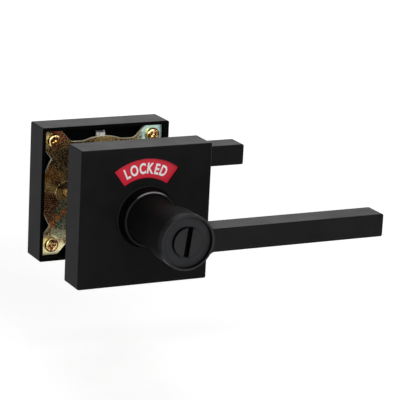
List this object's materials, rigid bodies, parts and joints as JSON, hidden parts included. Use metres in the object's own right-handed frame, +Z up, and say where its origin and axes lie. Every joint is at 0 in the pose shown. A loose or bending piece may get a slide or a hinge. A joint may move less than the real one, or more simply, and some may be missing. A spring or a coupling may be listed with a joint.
{
  "type": "privacy door lever",
  "caption": "Square-rose privacy door lever for both sides of a door: vacancy window and coin turn outside, thumb turn inside, square bar arms, black with zinc-plated steel plates.",
  "frame": {"origin": "on the spindle's axis, in the plane of the outside rose's rim, where it bears on the door", "axes": "+Y from the outside half through the door to the inside half, +Z up, +X along the arms"},
  "size_m": [0.1353, 0.1641, 0.0666],
  "materials": {
    "black_casting": "matt black powder coat on a zinc die casting",
    "black_bush": "black nylon with a light gloss",
    "yellow_zinc": "stamped steel with iridescent yellow zinc passivation",
    "yellow_zinc_screws": "steel screws with yellow zinc passivation",
    "bright_steel": "bright zinc-plated steel",
    "printed_dial": "printed steel disc, red and green fields with white words",
    "grey_disc": "satin dark grey disc",
    "black_turn": "satin black turn"
  },
  "bodies": {
    "door_fixed_set": {"outside_rose": "black_casting", "outside_collar": "black_bush", "outside_mounting_plate": "yellow_zinc", "outside_plate_screws": "yellow_zinc_screws", "mounting_posts": "yellow_zinc", "outside_spring_stop": "bright_steel", "outside_return_spring": "bright_steel", "inside_rose": "black_casting", "inside_collar": "black_bush", "inside_mounting_plate": "yellow_zinc", "inside_plate_screws": "yellow_zinc_screws", "through_bolts": "yellow_zinc_screws", "inside_spring_stop": "bright_steel", "inside_return_spring": "bright_steel"},
    "outside_lever_set": {"outside_lever": "black_casting", "outside_cap_disc": "grey_disc", "outside_spring_driver": "bright_steel", "outside_retaining_ring": "bright_steel", "spindle": "bright_steel"},
    "inside_lever_set": {"inside_lever": "black_casting", "inside_cap_disc": "grey_disc", "inside_spring_driver": "bright_steel", "inside_retaining_ring": "bright_steel"},
    "lock_set": {"lock_shaft": "bright_steel", "dial_drive_pin": "bright_steel", "coin_turn": "black_turn", "thumb_turn": "black_turn"},
    "dial_set": {"indicator_dial": "printed_dial"}
  },
  "joints": [
    {"name": "outside_lever_turn", "type": "hinge", "parent": "door_fixed_set", "child": "outside_lever_set", "pos_m": [0, 0, 0], "axis": [0, 1, 0], "range_deg": [-45, 45], "stiffness_Nm_per_rad": 1.6, "springref_deg": -6.3, "deforming": ["outside_return_spring"]},
    {"name": "inside_lever_turn", "type": "hinge", "parent": "door_fixed_set", "child": "inside_lever_set", "pos_m": [0, 0.03175, 0], "axis": [0, 1, 0], "range_deg": [-45, 45], "stiffness_Nm_per_rad": 1.6, "springref_deg": -6.3, "deforming": ["inside_return_spring"]},
    {"name": "lock_turn", "type": "hinge", "parent": "door_fixed_set", "child": "lock_set", "pos_m": [0, 0, 0], "axis": [0, 1, 0], "range_deg": [0, 90]},
    {"name": "indicator_turn", "type": "hinge", "parent": "door_fixed_set", "child": "dial_set", "pos_m": [0, -0.014, 0], "axis": [0, 1, 0], "range_deg": [0, 90]}
  ],
  "couplings": [
    {"joint": "inside_lever_turn", "follows": "outside_lever_turn", "ratio": 1},
    {"joint": "indicator_turn", "follows": "lock_turn", "ratio": 1}
  ]
}
